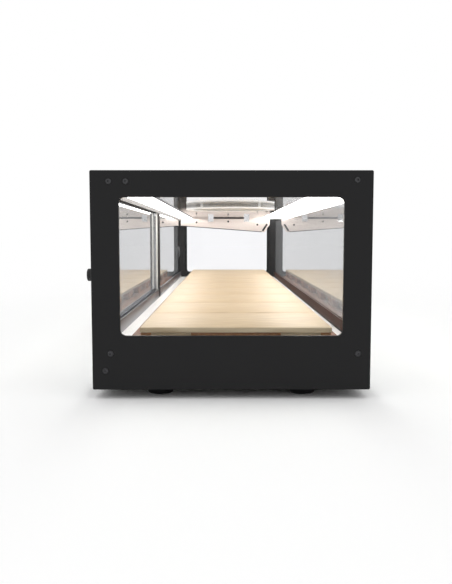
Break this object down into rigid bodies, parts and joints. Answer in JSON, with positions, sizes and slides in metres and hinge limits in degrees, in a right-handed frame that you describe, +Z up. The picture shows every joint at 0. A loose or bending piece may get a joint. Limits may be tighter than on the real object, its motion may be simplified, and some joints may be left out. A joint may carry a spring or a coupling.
{
  "type": "refrigerated display case",
  "caption": "Long low counter display case with windowed ends, fixed front glass, sliding rear glass doors, light strips, a ceiling fan and a cold floor with wooden boards.",
  "frame": {"origin": "on the counter under the feet, at the middle of the whole footprint, door knob included", "axes": "+X along the case towards the end with the drip shield, +Y to the operator's side with the sliding doors, +Z up"},
  "size_m": [1.5016, 0.3666, 0.282],
  "materials": {
    "charcoal_paint": "fine satin powder coat",
    "clear_glass": "toughened, polished edges",
    "black_rubber": "matt moulded rubber",
    "black_steel": "black oxide",
    "satin_aluminium": "satin anodised",
    "dark_anodised": "dark anodised",
    "polished_steel": "mirror polished sheet",
    "satin_steel": "satin rolled sheet",
    "white_enamel": "smooth white enamel",
    "insulating_foam": "closed-cell foam",
    "copper": "drawn copper",
    "fitting_brass": "machined brass",
    "opal_plastic": "opal diffuser",
    "white_plastic": "moulded, light gloss",
    "grey_mesh": "perforated steel",
    "black_plastic": "fine moulded texture",
    "key_plastic": "moulded",
    "glide_plastic": "low-friction plastic",
    "circuit_board": "white circuit board",
    "motor_steel": "plated steel",
    "light_wood": "planed, oiled",
    "brown_wood": "stained, matt"
  },
  "bodies": {
    "case": {"end_panel_left": "charcoal_paint", "end_panel_right": "charcoal_paint", "base_shell": "charcoal_paint", "roof_cover": "charcoal_paint", "end_glass_left": "clear_glass", "end_glass_right": "clear_glass", "front_glass": "clear_glass", "end_seal_left": "black_rubber", "end_seal_right": "black_rubber", "front_seal_lower": "black_rubber", "front_seal_upper": "black_rubber", "foot_left_front": "black_rubber", "foot_left_rear": "black_rubber", "foot_right_front": "black_rubber", "foot_right_rear": "black_rubber", "panel_screws": "black_steel", "foot_screws": "black_steel", "base_rail_front": "satin_aluminium", "base_rail_rear": "satin_aluminium", "roof_rail_front": "satin_aluminium", "roof_rail_rear": "satin_aluminium", "door_track_lower": "satin_aluminium", "door_track_upper": "dark_anodised", "ceiling_panel": "polished_steel", "drip_shield": "satin_steel", "floor_plate": "white_enamel", "base_insulation": "insulating_foam", "roof_insulation": "insulating_foam", "cooling_tube": "copper", "line_fittings": "fitting_brass", "light_covers": "opal_plastic", "fan_cover": "white_plastic", "fan_mesh": "grey_mesh", "fan_guard": "grey_mesh", "drip_shield_brackets": "grey_mesh", "thermostat": "black_plastic", "switch_housing": "black_plastic", "power_gland": "black_plastic", "drain_spout": "black_plastic", "light_boards": "circuit_board", "fan_motor": "motor_steel", "fan_bracket": "motor_steel", "display_boards": "light_wood", "display_mat": "brown_wood", "front_skirt": "brown_wood"},
    "outer_door": {"outer_door_glass": "clear_glass", "outer_door_trim": "satin_aluminium", "outer_door_glides": "glide_plastic", "outer_door_knob": "black_plastic", "outer_door_knob_screw": "satin_aluminium"},
    "inner_door": {"inner_door_glass": "clear_glass", "inner_door_trim": "dark_anodised", "inner_door_glides": "glide_plastic", "inner_door_pull": "black_plastic"},
    "fan": {"fan_impeller": "black_plastic"},
    "set_key": {"set_key": "key_plastic"},
    "up_key": {"up_key": "key_plastic"},
    "down_key": {"down_key": "key_plastic"},
    "power_rocker": {"power_rocker": "black_plastic"},
    "light_rocker": {"light_rocker": "black_plastic"}
  },
  "joints": [
    {"name": "outer_door_slide", "type": "slide", "parent": "case", "child": "outer_door", "axis": [1, 0, 0], "range_m": [0, 0.694]},
    {"name": "inner_door_slide", "type": "slide", "parent": "case", "child": "inner_door", "axis": [-1, 0, 0], "range_m": [0, 0.694]},
    {"name": "fan_spin", "type": "hinge", "parent": "case", "child": "fan", "pos_m": [-0.195, -0.01435, 0.266], "axis": [0, 0, 1], "continuous": true},
    {"name": "set_key_press", "type": "slide", "parent": "case", "child": "set_key", "axis": [0, -1, 0], "range_m": [0, 0.0008], "stiffness_N_per_m": 300},
    {"name": "up_key_press", "type": "slide", "parent": "case", "child": "up_key", "axis": [0, -1, 0], "range_m": [0, 0.0008], "stiffness_N_per_m": 300},
    {"name": "down_key_press", "type": "slide", "parent": "case", "child": "down_key", "axis": [0, -1, 0], "range_m": [0, 0.0008], "stiffness_N_per_m": 300},
    {"name": "power_rocker_tilt", "type": "hinge", "parent": "case", "child": "power_rocker", "pos_m": [0.334, 0.15915, 0.037], "axis": [1, 0, 0], "range_deg": [0, 16]},
    {"name": "light_rocker_tilt", "type": "hinge", "parent": "case", "child": "light_rocker", "pos_m": [0.356, 0.15915, 0.037], "axis": [1, 0, 0], "range_deg": [0, 16]}
  ]
}
